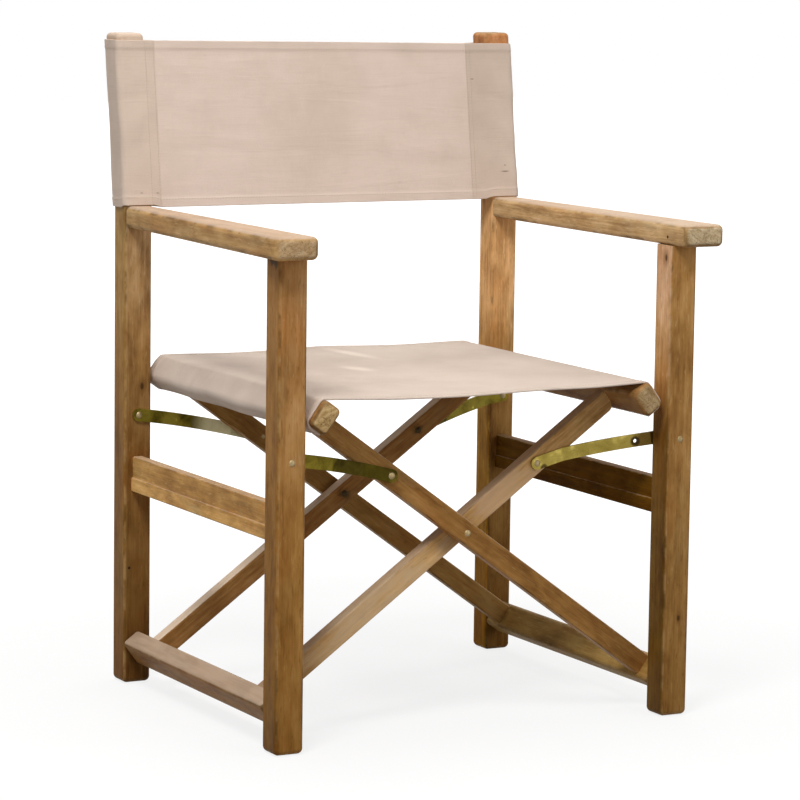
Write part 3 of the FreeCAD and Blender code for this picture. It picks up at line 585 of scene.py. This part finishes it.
def cloth_mesh(name, lines, spans, thick, material):
    """A sheet with two faces and rounded rims. lines[i][j] is (middle point, normal), thick(i, j) the
    thickness there, and spans are the distances along i and along j for the cloth's map."""
    rows, cols = len(lines), len(lines[0])
    points = np.array([[p for p, n in row] for row in lines], float)
    normals = np.array([[n for p, n in row] for row in lines], float)
    half = np.array([[thick(i, j) / 2 for j in range(cols)] for i in range(rows)])[..., None]
    front, rear = points + normals * half, points - normals * half
    verts = [tuple(p) for p in front.reshape(-1, 3)] + [tuple(p) for p in rear.reshape(-1, 3)]
    uvs = [(spans[0][i], spans[1][j]) for i in range(rows) for j in range(cols)] * 2
    size = rows * cols
    faces = []
    for i in range(rows - 1):
        for j in range(cols - 1):
            a, d = i * cols + j, i * cols + j + 1
            b, c = a + cols, d + cols
            faces.append((a, b, c, d))
            faces.append((size + a, size + d, size + c, size + b))

    def rim(path, di, dj):
        """A rounded edge along a path of places (i, j), whose outside is (di, dj) away."""
        middle = []
        for i, j in path:
            outward = points[i, j] - points[i - di, j - dj]
            outward = outward / max(np.linalg.norm(outward), 1e-9)
            middle.append(len(verts))
            verts.append(tuple(points[i, j] + outward * half[i, j] * RIM_BULGE))
            uvs.append((spans[0][i], spans[1][j]))
        for k in range(len(path) - 1):
            here, there = (i * cols + j for i, j in path[k:k + 2])
            faces.append((here, middle[k], middle[k + 1], there))
            faces.append((middle[k], size + here, size + there, middle[k + 1]))

    rim([(i, 0) for i in range(rows)], 0, -1)
    rim([(i, cols - 1) for i in reversed(range(rows))], 0, 1)
    rim([(0, j) for j in reversed(range(cols))], -1, 0)
    rim([(rows - 1, j) for j in range(cols)], 1, 0)
    mesh = bpy.data.meshes.new(name)
    mesh.from_pydata(verts, [], faces)
    layer = mesh.uv_layers.new(name="cloth")
    for loop, corner in zip(mesh.loops, layer.data):
        corner.uv = uvs[loop.vertex_index]
    mesh.validate()
    bm = bmesh.new()
    bm.from_mesh(mesh)
    bmesh.ops.remove_doubles(bm, verts=bm.verts, dist=SAME_PLACE)
    bmesh.ops.recalc_face_normals(bm, faces=bm.faces)
    bm.to_mesh(mesh)
    bm.free()
    mesh.shade_smooth()
    mesh.set_sharp_from_angle(angle=SHARP_EDGE)
    return new_object(name, mesh, material)


def at_distance(s, at, values):
    return np.array([np.interp(s, at, values[:, a]) for a in range(3)])


def stitches(name, seams, material):
    """Rows of lock stitches along lines. Every stitch is a small bent bead that lies in the cloth."""
    verts, faces = [], []
    turns = [2 * math.pi * k / THREAD_SIDES for k in range(THREAD_SIDES)]
    for seam in seams:
        points = np.array([p for p, n in seam], float)
        normals = np.array([n for p, n in seam], float)
        steps = np.linalg.norm(np.diff(points, axis=0), axis=1)
        at = np.concatenate([[0], np.cumsum(steps)])
        count = max(1, int(at[-1] / (STITCH_LENGTH + STITCH_GAP)))
        pitch = at[-1] / count
        for c in range(count):
            start = c * pitch + (pitch - STITCH_LENGTH) / 2
            rings = []
            for share, lift, size in STITCH_RINGS:
                s = start + share * STITCH_LENGTH
                p, n = at_distance(s, at, points), at_distance(s, at, normals)
                n /= np.linalg.norm(n)
                t = at_distance(s + SEAM_STEP, at, points) - p
                if np.linalg.norm(t) < 1e-8:
                    t = p - at_distance(s - SEAM_STEP, at, points)
                t /= np.linalg.norm(t)
                b = np.cross(n, t)
                rings.append(len(verts))
                for a in turns:
                    up = n * THREAD_RADIUS * (lift + size * math.sin(a))
                    verts.append(tuple(p + up + b * THREAD_RADIUS * size * math.cos(a)))
            for low, high in zip(rings, rings[1:]):
                for k in range(THREAD_SIDES):
                    k2 = (k + 1) % THREAD_SIDES
                    faces.append((low + k, low + k2, high + k2, high + k))
            faces.append(tuple(rings[0] + k for k in reversed(range(THREAD_SIDES))))
            faces.append(tuple(rings[-1] + k for k in range(THREAD_SIDES)))
    mesh = bpy.data.meshes.new(name)
    mesh.from_pydata(verts, [], faces)
    mesh.shade_smooth()
    return new_object(name, mesh, material)


def spread(low, high, step):
    count = max(1, int(math.ceil((high - low) / step)))
    return [low + (high - low) * k / count for k in range(count + 1)]


def smooth(value, low, high):
    t = min(1.0, max(0.0, (value - low) / (high - low)))
    return t * t * (3 - 2 * t)


def distances(line):
    """The way along a line, at each of its points."""
    reach = [0.0]
    for (p, _), (q, _) in zip(line, line[1:]):
        reach.append(reach[-1] + (q - p).length)
    return reach


def bend(hub, radius, first, last, axis):
    """A line round a hub between two angles in the plane of x and an axis, without its first point."""
    line = []
    for k in range(1, BEND_STEPS + 1):
        a = first + (last - first) * k / BEND_STEPS
        out = Vector((math.cos(a), 0, 0))
        out[axis] = math.sin(a)
        line.append((hub + out * radius, out))
    return line


Y, Z, BEND_STEPS = 1, 2, 8
SEAM_INSET = 0.0016                 # from the inner edge of a hem to its stitches
HEM_MORE = 0.0009                   # what a hem adds to the thickness
HEM_STEP = (-0.0004, 0.0006)        # and where it does so, from the hem's inner edge


def hemmed_places(low, high, hem, rim, inner, step):
    """Places across a hemmed cloth, closest at its edges and at the inner edges of its hems.

    Even places begin at rim on the hem and at inner on the sheet, from the edge."""
    edges, hem_step, before, after = (0.0, 0.0003, 0.0010), 0.004, 0.0006, 0.0008
    return sorted(
        [low + d for d in edges] + spread(low + rim, low + hem - before, hem_step)
        + [low + hem, low + hem + after] + spread(low + inner, high - inner, step)
        + [high - hem - after, high - hem] + spread(high - hem + before, high - rim, hem_step)
        + [high - d for d in edges]
    )


def hem_at(edge_distance, hem):
    """1 on a hem, and 0 beside it."""
    return 1 - smooth(edge_distance, hem + HEM_STEP[0], hem + HEM_STEP[1])


# Seat: one stretched sheet, wrapped over both seat rails and tucked under them
SEAT_END, SEAT_HEM, SEAT_THICK = 0.245, 0.013, 0.0013
SEAT_SLOPE = math.radians(2.0)      # of the sheet where it meets a rail
TOP_HUB, LOW_HUB = Vector((0.22964, 0, 0.43083)), Vector((0.24370, 0, 0.41138))
HUB_RADIUS = 0.0081                 # of the sheet's middle round those two, on the right rail
TUCK, TUCK_SEAM = 0.016, 0.0065     # width under a rail, and the strip of it that holds the seam
SPAN_STEPS, SIDE_STEPS, TUCK_STEPS = 32, 6, 4

# The give of the used seat. A pair is where something begins and where it is complete, across from the middle
SEAT_HELD, RAIL_SIDE, RAIL_FOOT, RAIL_UNDER = (0.12, 0.225), (0.236, 0.244), (0.262, 0.270), (0.262, 0.272)
SEAT_DIP, DIP_WAVE = 0.0016, 0.62
SEAT_RISE, RISE_FROM, RISE_WIDTH = 0.0046, -0.16, 0.229
SEAT_RIPPLE, SEAT_EDGE_WAVE, EDGE_FROM = 0.00055, 0.0011, 0.215
SIDE_GIVE, SIDE_WAVE, UNDER_GIVE = 0.00045, 0.00055, 0.0005
PLEAT, PLEAT_HEIGHT = dict(across=0.2345, depth=0.060, slant=0.55, narrow=0.0030, length=0.0075), 0.0016
HOLLOW, HOLLOW_DEPTH = dict(across=0.2355, depth=0.069, slant=0.45, narrow=0.0035, length=0.0065), 0.0005
PLEAT_CORNER = 0.236


def seat_section():
    """Half of the sheet's line, from the middle to the tucked edge on the right rail."""
    lift = Vector((-math.sin(SEAT_SLOPE), 0, math.cos(SEAT_SLOPE)))
    down = Vector((math.sin(THETA), 0, -math.cos(THETA)))
    top_turn, side_turn, low_turn = (math.atan2(d.z, d.x) for d in (lift, BAR_RIGHT, down))
    hub = TOP_HUB + lift * (TOP_HUB.x / math.sin(SEAT_SLOPE))
    sweep = (hub - (TOP_HUB + lift * HUB_RADIUS)).length
    line = []
    for k in range(SPAN_STEPS + 1):
        a = SEAT_SLOPE * k / SPAN_STEPS
        out = Vector((-math.sin(a), 0, math.cos(a)))
        line.append((hub - out * sweep, out))
    line += bend(TOP_HUB, HUB_RADIUS, top_turn, side_turn, Z)
    side_start, side_end = TOP_HUB + BAR_RIGHT * HUB_RADIUS, LOW_HUB + BAR_RIGHT * HUB_RADIUS
    line += [(side_start.lerp(side_end, k / SIDE_STEPS), BAR_RIGHT) for k in range(1, SIDE_STEPS + 1)]
    line += bend(LOW_HUB, HUB_RADIUS, side_turn, low_turn, Z)
    foot = LOW_HUB + down * HUB_RADIUS
    line += [(foot - BAR_RIGHT * (TUCK * k / TUCK_STEPS), down) for k in range(1, TUCK_STEPS + 1)]
    return line


half_line = seat_section()
mirror = [(Vector((-p.x, 0, p.z)), Vector((-n.x, 0, n.z))) for p, n in half_line[:0:-1]]
section = mirror + half_line
way = distances(section)
seat_xs = [d - way[-1] / 2 for d in way]
seat_ys = hemmed_places(-SEAT_END, SEAT_END, SEAT_HEM, 0.0025, 0.016, 0.0075)


def ridge(s, y, across, depth, slant, narrow, length):
    """A short slanting ridge at the left rail, 1 at its top."""
    off = y + depth - slant * (s + PLEAT_CORNER)
    return math.exp(-(off / narrow) ** 2) * math.exp(-((s + across) / length) ** 2)


def seat_give(s, y):
    """How far the used cloth lies off its line, at s across the cloth and y in depth."""
    off = abs(s)
    # it dips in the middle, rises to the rear, and has soft ripples and wavy free edges
    span = 1 - smooth(off, *SEAT_HELD)
    give = -SEAT_DIP * span * math.cos(math.pi * y / DIP_WAVE)
    give += SEAT_RISE * max(0.0, 1 - off / RISE_WIDTH) ** 0.8 * smooth(y, RISE_FROM, SEAT_END)
    give += SEAT_RIPPLE * span * math.sin(9.0 * y + 17.0 * s) * math.cos(21.0 * s - 4.0 * y)
    edge = smooth(abs(y), EDGE_FROM, SEAT_END)
    give += SEAT_EDGE_WAVE * edge * math.sin(19.0 * s + (1.3 if y > 0 else 0.2)) * span
    # it is a little loose at the side of a rail and under it
    side = smooth(off, *RAIL_SIDE) * (1 - smooth(off, *RAIL_FOOT))
    give += side * (SIDE_GIVE + SIDE_WAVE * math.sin(31.0 * y + (2.0 if s > 0 else 0.0)))
    under = smooth(off, *RAIL_UNDER)
    give += under * (UNDER_GIVE + UNDER_GIVE * math.sin(44.0 * y + (1.0 if s > 0 else 3.0)))
    # and it has one pleat
    give += PLEAT_HEIGHT * ridge(s, y, **PLEAT) - HOLLOW_DEPTH * ridge(s, y, **HOLLOW)
    return give


def seat_point(p, n, s, y):
    return Vector((p.x, y, p.z)) + n * seat_give(s, y)


def seat_thick(i, j):
    return SEAT_THICK + HEM_MORE * hem_at(SEAT_END - abs(seat_ys[j]), SEAT_HEM)


def seat_seams():
    """The stitches of both hems, above and below, and of the tucked edges."""
    seams = []
    for y in (-SEAT_END + SEAT_HEM - SEAM_INSET, SEAT_END - SEAT_HEM + SEAM_INSET):
        for skin in (1, -1):
            seams.append([
                (seat_point(p, n, s, y) + n * skin * (SEAT_THICK + HEM_MORE) / 2, n * skin)
                for (p, n), s in zip(section, seat_xs)
            ])
    for sign in (-1, 1):
        strip = [k for k, s in enumerate(seat_xs) if abs(s) > seat_xs[-1] - TUCK_SEAM and s * sign > 0]
        p, n = section[strip[len(strip) // 2]]
        lift = n * (SEAT_THICK / 2 + 0.0004)
        seams.append([(Vector((p.x, y, p.z)) + lift, n) for y in spread(-0.236, 0.236, 0.004)])
    return seams


def make_seat():
    lines = [[(seat_point(p, n, s, y), n) for y in seat_ys] for (p, n), s in zip(section, seat_xs)]
    cloth = cloth_mesh("seat_cloth", lines, (seat_xs, seat_ys), seat_thick, seat_canvas)
    seams = stitches("seat_stitching", seat_seams(), seam_thread)
    return cloth, seams


def join_seat(seat, seat_stitches):
    """The seat and its stitches are put on the inner frame, then let go again and left in place; the seat
    sling is hidden.
    """
    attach(seat, "inner_frame")
    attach(seat_stitches, "inner_frame")
    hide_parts("seat_sling")
    for piece in (seat, seat_stitches):
        piece.parent = None
        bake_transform(piece)


# Back: pockets round the rear posts, and a single sheet between their seams, in two halves for folding
FOOT, HEAD = 0.6445, 0.8575
BACK_NEAR, BACK_FAR, BACK_OUT = 0.2144, 0.2576, 0.2996      # outer faces of a pocket
BACK_MIDDLE = 0.0009                                        # from there to the middle of the cloth
BACK_THICK, BACK_HEM = 0.0012, 0.011
SEAMS = {-1: 0.2450, 1: 0.2240}     # the seams aren't quite the same on both sides
HEM_LINES = (FOOT + BACK_HEM - SEAM_INSET, HEAD - BACK_HEM + SEAM_INSET)
BACK_CREASES = (                    # (height, waves, depth)
    (0.700, 5.0, 0.00080), (0.731, 7.5, -0.00065), (0.762, 3.0, 0.00070), (0.793, 6.0, -0.00050),
    (0.826, 4.0, 0.00085),
)
BACK_SLACK, BACK_FREE = 0.0020, 0.05
FOOT_HANG, HEAD_SLANT, HEAD_REACH = 0.0030, 0.0026, 0.26
ARM_ACROSS, ARM_BEHIND = (0.246, 0.257), (0.2175, 0.226)    # where an arm holds the foot up
POCKET_RADIUS, POCKET_STEP, POCKET_TURN = 0.0065, 0.006, 0.2600
SLANT_STEPS, SLANT_BEND, SLANT_GAP = 9, 0.0006, 0.0021
NEAR, FAR, OUT = Vector((0, -1, 0)), Vector((0, 1, 0)), Vector((1, 0, 0))
back_normal = Vector((0, -1, RAKE)).normalized()
back_zs = hemmed_places(FOOT, HEAD, BACK_HEM, 0.003, 0.015, 0.006)


def height_share(z):
    return (z - FOOT) / (HEAD - FOOT)


def lean(x, y, z):
    """The place on the leaning posts. The sheet hangs a little at its foot, where no arm holds it up,
    and its head is lower on the right."""
    t = height_share(z)
    free = max(1 - smooth(abs(x), *ARM_ACROSS), smooth(y, *ARM_BEHIND))
    z -= FOOT_HANG * (1 - t) * free + HEAD_SLANT * t * x / HEAD_REACH
    return Vector((x, y + (z - FOOT + 0.0005) * RAKE, z))


def back_thick_at(z):
    return BACK_THICK + HEM_MORE * hem_at(min(z - FOOT, HEAD - z), BACK_HEM)


def back_thick(i, j):
    return back_thick_at(back_zs[j])


def back_wave(x, z):
    """Faint level creases and the slack of the sheet between the posts."""
    off = abs(x)
    seam = SEAMS[1 if x > 0 else -1]
    span = 1 - smooth(off, BACK_FREE, seam)
    move = BACK_SLACK * span * (1 - 0.5 * math.cos(math.pi * height_share(z)))
    tug = smooth(off, BACK_FREE, 0.150) * (1 - smooth(off, seam - 0.042, seam - 0.003))
    for height, waves, depth in BACK_CREASES:
        sway = z - height - 0.020 * math.sin(waves * x + height * 40)
        move += depth * tug * math.exp(-(sway / 0.0085) ** 2)
        move += 0.3 * depth * span * math.exp(-((sway - 0.010) / 0.016) ** 2)
    return move


def panel_point(x, z):
    return lean(x, BACK_NEAR + BACK_MIDDLE + back_wave(x, z), z)


def panel_seam(sign, z, skin):
    """A row of stitches across one half, on its near face (skin 1) or its rear face (-1)."""
    lift = back_normal * skin * (back_thick_at(z) / 2 - 0.00005)
    xs = spread(0.001, SEAMS[sign] - 0.001, 0.004)
    return [(panel_point(sign * x, z) + lift, back_normal * skin) for x in xs]


def pocket_section(seam):
    """The pocket's level line round the right post, with outward normals, from the seam and back to it."""
    near, far, out = BACK_NEAR + BACK_MIDDLE, BACK_FAR - BACK_MIDDLE, BACK_OUT - BACK_MIDDLE
    r = POCKET_RADIUS
    line = [(Vector((x, near, 0)), NEAR) for x in spread(seam, out - r, POCKET_STEP)]
    line += bend(Vector((out - r, near + r, 0)), r, -math.pi / 2, 0.0, Y)
    line += [(Vector((out, y, 0)), OUT) for y in spread(near + r, far - r, POCKET_STEP)[1:]]
    line += bend(Vector((out - r, far - r, 0)), r, 0.0, math.pi / 2, Y)
    turn = Vector((POCKET_TURN, far, 0))
    line += [(Vector((x, far, 0)), FAR) for x in spread(turn.x, out - r, POCKET_STEP)[-2::-1]]
    # the inner side slants back to the seam and bulges a little
    tip = Vector((seam, near + SLANT_GAP, 0))
    way = tip - turn
    slant = Vector((way.y, -way.x, 0)).normalized()
    for k in range(1, SLANT_STEPS + 1):
        t = k / SLANT_STEPS
        n = slant if k < SLANT_STEPS else slant.lerp(FAR, 0.7).normalized()
        line.append((turn.lerp(tip, t) + slant * (math.sin(math.pi * t) * SLANT_BEND), n))
    return line


def pocket_give(s, z, n):
    """The pocket is a little loose on the post."""
    t = height_share(z)
    sideways = max(0.0, abs(n.x) - 0.5) * 2
    backwards = max(0.0, n.y)
    give = sideways * (0.0006 * math.sin(9.0 * t + 1.0) + 0.0004)
    give += backwards * (0.0010 + 0.0010 * math.sin(7.0 * t))
    if n.y < -0.5:
        give += 0.00045 * math.sin(24.0 * t + 60.0 * s) * smooth(s, 0.006, 0.02)
    return give


def pocket_point(sign, p, n, s, z, lift=0.0):
    """A point of the pocket and its normal, s along the pocket's line."""
    m = Vector((sign * n.x, n.y, -n.y * RAKE)).normalized()
    return lean(sign * p.x, p.y, z) + m * (pocket_give(s, z, n) + lift), m


def make_panel(sign, side):
    """Half of the sheet, and the stitches of its hems."""
    xs = spread(0.0, SEAMS[sign], 0.0075)
    lines = [[(panel_point(sign * x, z), back_normal) for z in back_zs] for x in xs]
    spans = ([sign * x for x in xs], back_zs)
    panel = cloth_mesh("back_panel_" + side, lines, spans, back_thick, back_canvas)
    rows = [panel_seam(sign, z, skin) for z in HEM_LINES for skin in (1, -1)]
    panel_stitches = stitches("back_hem_stitching_" + side, rows, seam_thread)
    return panel, panel_stitches


def make_pocket(sign, side):
    """The pocket on one post, with the stitches of its seams and hems, and the way round it."""
    seam = SEAMS[sign]
    ring = pocket_section(seam)
    reach = distances(ring)
    lines = [[pocket_point(sign, p, n, s, z) for z in back_zs] for (p, n), s in zip(ring, reach)]
    sleeve = cloth_mesh("back_pocket_" + side, lines, (reach, back_zs), back_thick, pocket_canvas)
    rows = []
    for x in (seam + 0.0018, 0.2585 if sign < 0 else seam + 0.0075):
        p = Vector((x, BACK_NEAR + BACK_MIDDLE, 0))
        zs = spread(FOOT + 0.002, HEAD - 0.002, 0.004)
        rows.append([pocket_point(sign, p, NEAR, x - seam, z, back_thick_at(z) / 2) for z in zs])
    for z in HEM_LINES:
        lift = back_thick_at(z) / 2
        rows.append([pocket_point(sign, p, n, s, z, lift) for (p, n), s in zip(ring, reach)])
    sleeve_stitches = stitches("back_pocket_stitching_" + side, rows, seam_thread)
    return sleeve, sleeve_stitches, reach[-1]


def make_back(sign, side):
    """One side of the back: half of the sheet and the pocket, with their stitches, on that side's body."""
    seam = SEAMS[sign]
    panel, panel_stitches = make_panel(sign, side)
    sleeve, sleeve_stitches, round_post = make_pocket(sign, side)
    body = side + "_side"
    for piece in (panel, panel_stitches, sleeve, sleeve_stitches):
        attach(piece, body)
    anchor = lean(sign * seam, BACK_NEAR + BACK_MIDDLE, 0.75)
    for piece in (panel, panel_stitches):
        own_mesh(piece)
    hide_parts("back_sling")


# streaks of painted glint on the seat
SEAT_STREAKS = [
    (0.018, 0.169, -1.406, 0.080, 0.019, 0.62),
    (-0.040, 0.039, -1.182, 0.038, 0.021, 0.62),
]
BACK_SPOTS = [
    ((0.2782, 0.219, 0.6785), 0.0085, 0.0013, 0.75),
    ((0.2785, 0.220, 0.6872), 0.0022, 0.0012, 0.60),
    ((0.2329, 0.237, 0.8064), 0.0040, 0.0014, 0.55),
    ((-0.2739, 0.216, 0.6602), 0.0030, 0.0012, 0.55),
    ((-0.2508, 0.216, 0.6597), 0.0035, 0.0012, 0.55),
]
seat_canvas = canvas("canvas_seat", (0.665, 0.548, 0.460), (0.575, 0.465, 0.387), 3, streaks=SEAT_STREAKS)
back_canvas = canvas("canvas_back", (0.760, 0.610, 0.520), (0.680, 0.545, 0.450), 8, BACK_SPOTS)
pocket_canvas = canvas(
    "canvas_pocket", (0.690, 0.550, 0.450), (0.610, 0.480, 0.390), 9, BACK_SPOTS, creases=0.8,
)
seam_thread = thread("thread", (0.600, 0.480, 0.380))

seat_pieces = make_seat()
make_back(-1, "left")
make_back(1, "right")
join_seat(*seat_pieces)


# Floor, light and camera
FLOOR_SIZE, FLOOR_HEIGHT, FLOOR_COLOUR, FLOOR_GLOW = 30, -0.0006, (0.46, 0.455, 0.45, 1), 1.32
FLOOR_FADE = {"From Min": 0.5, "From Max": 2.2, "To Min": 0.62, "To Max": 1.0}      # metres to share of glow
WHITE, SKY = (1, 1, 1, 1), (1.0, 0.985, 0.955, 1)
WHITE_STRENGTH, SKY_STRENGTH = 1.0, 0.27
AZIMUTH, ELEVATION, ROLL = (math.radians(a) for a in (-27.654, 7.515, 0.802))
CAMERA_PLACE = (-2.15468, -4.11757, 1.01008)
FOCAL_PIXELS, PICTURE_PIXELS, SENSOR = 3561.145, 800, 36.0


def seen(tree):
    """1 for the camera's rays, also by way of gloss or glass, and 0 for the light that falls on things."""
    rays = make_node(tree, "ShaderNodeLightPath").outputs
    most = make_node(
        tree, "ShaderNodeMath", {0: rays["Is Camera Ray"], 1: rays["Is Glossy Ray"]}, operation="MAXIMUM",
    )
    inputs = {0: most.outputs[0], 1: rays["Is Transmission Ray"]}
    return make_node(tree, "ShaderNodeMath", inputs, operation="MAXIMUM").outputs[0]


def make_floor():
    """A pale floor that looks white, less so near the chair, where its shadows show."""
    bpy.ops.mesh.primitive_plane_add(size=FLOOR_SIZE, location=(0, 0, FLOOR_HEIGHT))
    obj = bpy.context.object
    obj.name = "floor"
    mat = bpy.data.materials.new("pale_floor")
    tree = empty_tree(mat)
    place = make_node(tree, "ShaderNodeTexCoord").outputs["Object"]
    away = make_node(tree, "ShaderNodeVectorMath", {0: place}, operation="LENGTH").outputs["Value"]
    inputs = {"Value": away, **FLOOR_FADE}
    fade = make_node(tree, "ShaderNodeMapRange", inputs, interpolation_type="SMOOTHSTEP").outputs[0]
    share = make_node(tree, "ShaderNodeMath", {0: seen(tree), 1: fade}, operation="MULTIPLY").outputs[0]
    diffuse = make_node(tree, "ShaderNodeBsdfDiffuse", {"Color": FLOOR_COLOUR}).outputs[0]
    glow = make_node(tree, "ShaderNodeEmission", {"Color": WHITE, "Strength": FLOOR_GLOW}).outputs[0]
    both = make_node(tree, "ShaderNodeMixShader", {0: share, 1: diffuse, 2: glow}).outputs[0]
    make_node(tree, "ShaderNodeOutputMaterial", {"Surface": both})
    obj.data.materials.append(mat)


def make_world():
    """A white backdrop that sheds only a soft light."""
    world = bpy.data.worlds.new("studio")
    bpy.context.scene.world = world
    tree = empty_tree(world)
    sky = make_node(tree, "ShaderNodeBackground", {0: SKY, 1: SKY_STRENGTH}).outputs[0]
    white = make_node(tree, "ShaderNodeBackground", {0: WHITE, 1: WHITE_STRENGTH}).outputs[0]
    both = make_node(tree, "ShaderNodeMixShader", {0: seen(tree), 1: sky, 2: white}).outputs[0]
    make_node(tree, "ShaderNodeOutputWorld", {0: both})


def lamp(name, place, target, size, power):
    data = bpy.data.lights.new(name, "AREA")
    data.shape, data.size, data.energy, data.color = "DISK", size, power, (1, 1, 1)
    obj = bpy.data.objects.new(name, data)
    obj.location = place
    obj.rotation_euler = (Vector(target) - Vector(place)).to_track_quat("-Z", "Y").to_euler()
    bpy.context.scene.collection.objects.link(obj)


def make_camera():
    """The photograph's camera: it looks along -back, turned round it by the roll."""
    level = math.cos(ELEVATION)
    back = Vector((math.sin(AZIMUTH) * level, -math.cos(AZIMUTH) * level, math.sin(ELEVATION)))
    right = Vector((math.cos(AZIMUTH), math.sin(AZIMUTH), 0))
    up = back.cross(right)
    right, up = right * math.cos(ROLL) + up * math.sin(ROLL), up * math.cos(ROLL) - right * math.sin(ROLL)
    camera = bpy.data.objects.new("camera", bpy.data.cameras.new("camera"))
    camera.data.sensor_width = SENSOR
    camera.data.lens = SENSOR * FOCAL_PIXELS / PICTURE_PIXELS
    camera.data.clip_start, camera.data.clip_end = 0.1, 100
    camera.matrix_world = Matrix([*zip(right, up, back, CAMERA_PLACE), (0, 0, 0, 1)])
    bpy.context.scene.collection.objects.link(camera)
    bpy.context.scene.camera = camera


make_floor()
make_world()
lamp("key", (-1.5, -1.5, 3.0), (0, 0, 0.4), 1.1, 70)
lamp("fill", (2.4, -2.8, 1.6), (0, 0, 0.4), 2.0, 28)
lamp("top", (0.3, 0.6, 3.2), (0, 0, 0.3), 2.4, 44)
make_camera()
bpy.context.scene.view_settings.view_transform = "Standard"

bpy.context.view_layer.update()
